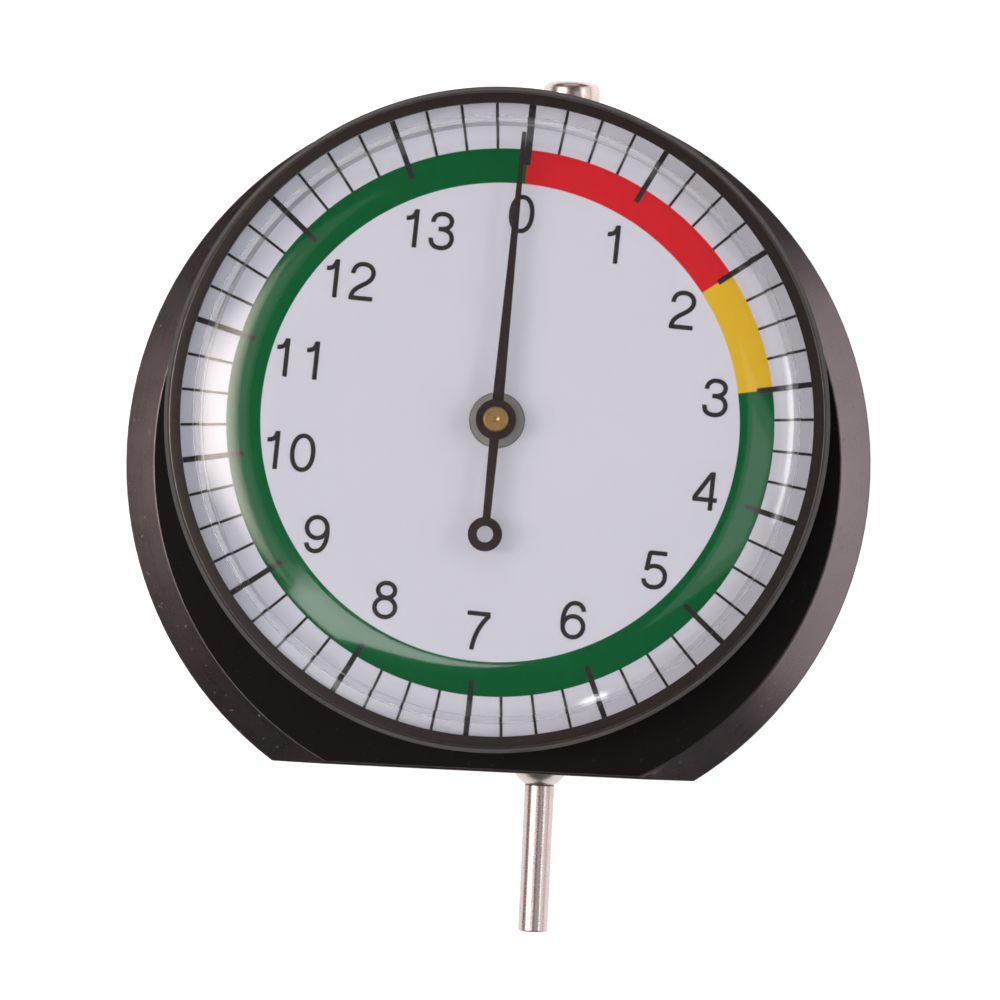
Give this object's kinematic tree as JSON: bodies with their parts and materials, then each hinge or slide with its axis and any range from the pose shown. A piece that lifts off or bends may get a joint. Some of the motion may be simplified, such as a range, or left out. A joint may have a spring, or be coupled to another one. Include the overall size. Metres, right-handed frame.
{
  "type": "tire tread gauge",
  "caption": "Dial gauge that stands on a flat foot while its spring-loaded pin reaches to the bottom of a tire tread and turns a pointer over a coloured scale.",
  "frame": {"origin": "on the flat back face, directly below the pointer axis", "axes": "+Z comes out of the dial, +Y points at the lift button and away from the flat foot, +X is the right-hand side of the dial"},
  "size_m": [0.0508, 0.0588, 0.0179],
  "materials": {
    "body_anodised": "black anodised turned aluminium, satin",
    "screw_steel": "blackened and polished steel screw heads",
    "bush_brass": "turned brass, plain",
    "bush_nickel": "dull nickel grey",
    "spring_steel": "drawn spring wire",
    "movement_brass": "milled brass, fine grain",
    "hairspring_bronze": "rolled phosphor bronze strip",
    "rod_steel": "ground stainless steel",
    "holder_nickel": "matte nickel",
    "pin_steel": "polished hardened steel",
    "button_nickel": "polished nickel",
    "needle_dark": "dark brown-black enamel",
    "collet_brass": "turned and polished brass",
    "bezel_black": "black anodised, glossy, with a worn bright outer lip",
    "dial_white": "pale lavender-white printed enamel, semi-matte",
    "crystal_clear": "clear moulded acrylic, polished"
  },
  "bodies": {
    "case": {"gauge_body": "body_anodised", "back_cover": "body_anodised", "back_cover_screws": "screw_steel", "lower_bush": "bush_brass", "upper_bush": "bush_brass", "bezel_wire": "spring_steel", "front_bush": "bush_nickel", "rear_bush": "bush_brass", "movement_bridge": "movement_brass", "movement_pillars": "movement_brass", "bridge_screws": "screw_steel", "pillar_screws": "screw_steel", "guide_rail": "movement_brass", "guide_rail_screws": "screw_steel", "hairspring_stud": "movement_brass", "hairspring": "hairspring_bronze", "return_spring": "spring_steel"},
    "plunger": {"rack_plunger": "rod_steel", "guide_pin": "rod_steel", "contact_holder": "holder_nickel", "contact_pin": "pin_steel", "lift_button": "button_nickel"},
    "pointer": {"pinion_arbor": "rod_steel", "hairspring_collet": "movement_brass", "pointer_needle": "needle_dark", "pointer_collet": "collet_brass"},
    "bezel": {"bezel_ring": "bezel_black", "dial_plate": "dial_white", "crystal": "crystal_clear"}
  },
  "joints": [
    {"name": "plunger_slide", "type": "slide", "parent": "case", "child": "plunger", "axis": [0, 1, 0], "range_m": [0, 0.01111], "stiffness_N_per_m": 60, "springref_m": -0.004, "deforming": ["return_spring"]},
    {"name": "pointer_turn", "type": "hinge", "parent": "case", "child": "pointer", "pos_m": [0, 0, 0], "axis": [0, 0, 1], "range_deg": [0, 360], "deforming": ["hairspring"]},
    {"name": "bezel_turn", "type": "hinge", "parent": "case", "child": "bezel", "pos_m": [0, 0, 0], "axis": [0, 0, 1], "continuous": true}
  ],
  "couplings": [
    {"joint": "pointer_turn", "follows": "plunger_slide", "rad_per_m": 565.42}
  ]
}
